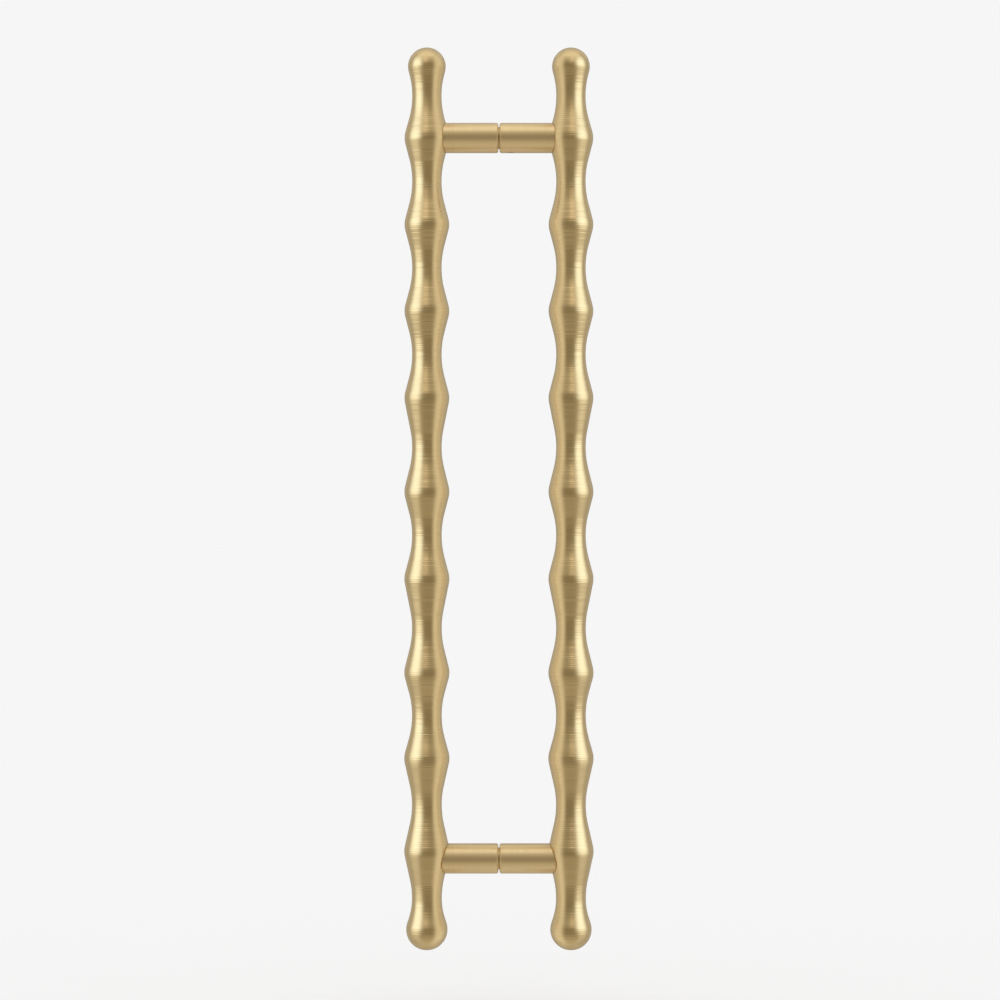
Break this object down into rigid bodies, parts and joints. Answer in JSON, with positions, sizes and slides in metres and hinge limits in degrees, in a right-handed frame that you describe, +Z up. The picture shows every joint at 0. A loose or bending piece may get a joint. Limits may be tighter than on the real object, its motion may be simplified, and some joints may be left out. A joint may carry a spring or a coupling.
{
  "type": "door pull",
  "caption": "Back-to-back pair of turned brass door pulls with a cane outline and ball ends, joined through the door by short round posts.",
  "frame": {"origin": "in the plane where the posts meet, on the bars' common centre plane, midway between the upper and lower posts", "axes": "+X through the door from the left pull to the right pull, +Z up along the bars"},
  "size_m": [0.12, 0.0286, 0.5726],
  "materials": {
    "turned_brass": "satin, with fine turning lines round the bar",
    "post_brass": "satin, brushed round the post",
    "boss_brass": "plain turned",
    "stud_steel": "plain stainless screw finish",
    "grub_screw_steel": "plain stainless screw finish"
  },
  "bodies": {
    "root": {"left_bar": "turned_brass", "right_bar": "turned_brass", "left_upper_post": "post_brass", "left_lower_post": "post_brass", "right_upper_post": "post_brass", "right_lower_post": "post_brass", "upper_mounting_boss": "boss_brass", "lower_mounting_boss": "boss_brass", "left_upper_bar_stud": "stud_steel", "left_lower_bar_stud": "stud_steel", "right_upper_bar_stud": "stud_steel", "right_lower_bar_stud": "stud_steel", "upper_through_stud": "stud_steel", "lower_through_stud": "stud_steel", "upper_grub_screw": "grub_screw_steel", "lower_grub_screw": "grub_screw_steel"}
  },
  "joints": []
}
